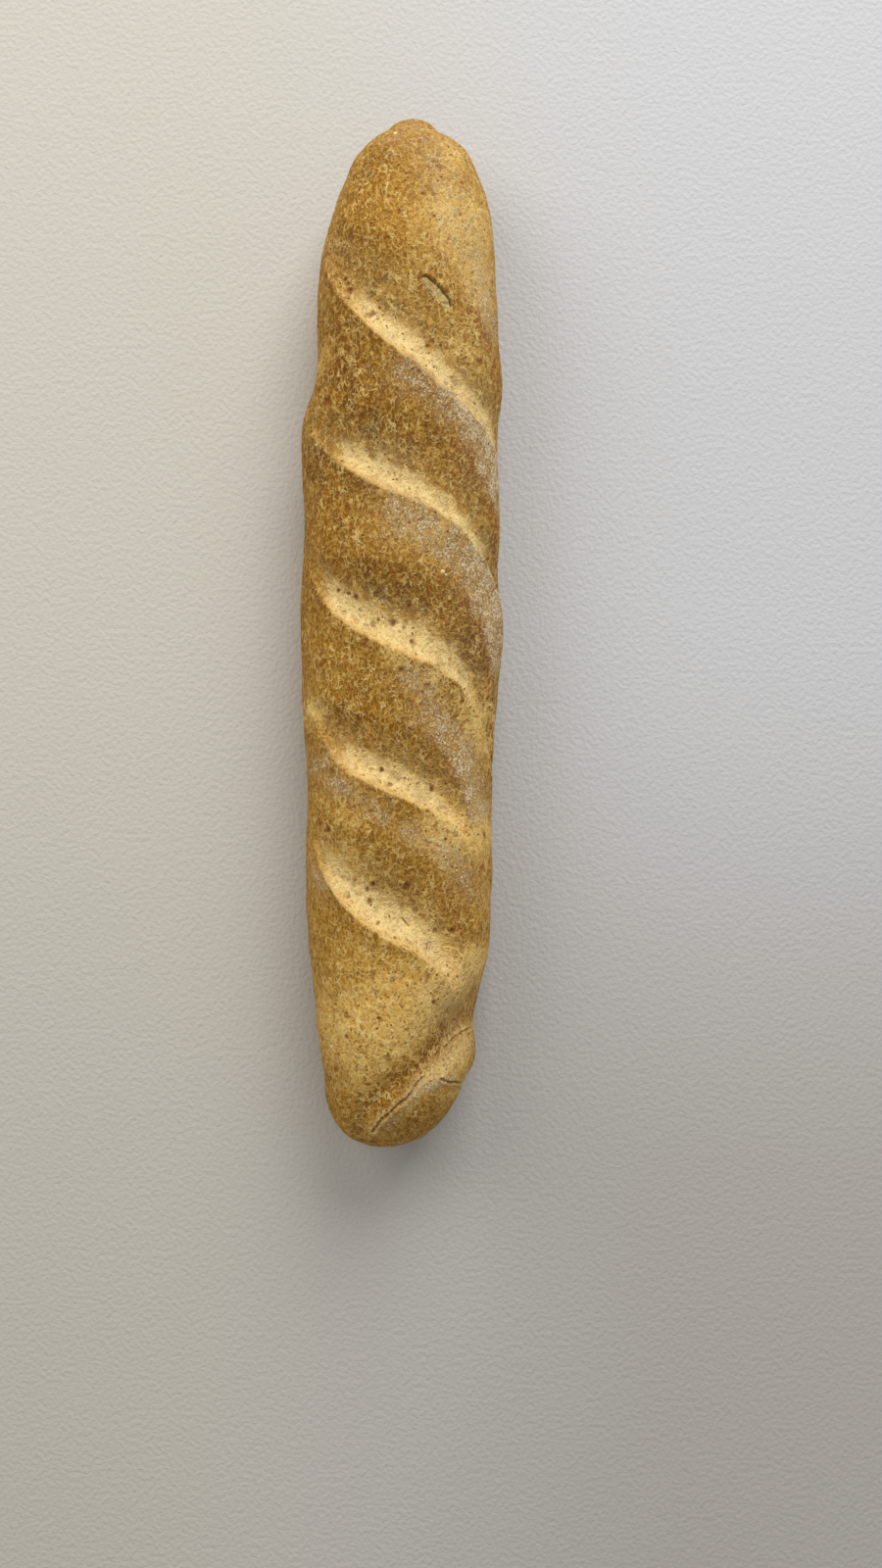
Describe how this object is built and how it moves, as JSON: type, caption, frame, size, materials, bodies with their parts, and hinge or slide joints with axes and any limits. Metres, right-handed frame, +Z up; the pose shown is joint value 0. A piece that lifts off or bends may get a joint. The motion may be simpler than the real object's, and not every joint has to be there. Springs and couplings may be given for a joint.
{
  "type": "salt-free bread loaf",
  "caption": "Slender plain wholemeal bread loaf with slanting slashes opened in its domed crust, a pointed end, a blunt end and a flat base.",
  "frame": {"origin": "middle of the box's bottom face, in the plane of the loaf's flat base", "axes": "+X along the loaf to its pointed end, +Z up out of the slashed crust, +Y to the left seen from above with the pointed end at the top"},
  "size_m": [0.3978, 0.0784, 0.0557],
  "materials": {
    "crust": "dry, matte, golden-brown baked crust with paler opened slashes, bran specks and traces of flour"
  },
  "bodies": {
    "root": {"loaf": "crust"}
  },
  "joints": []
}
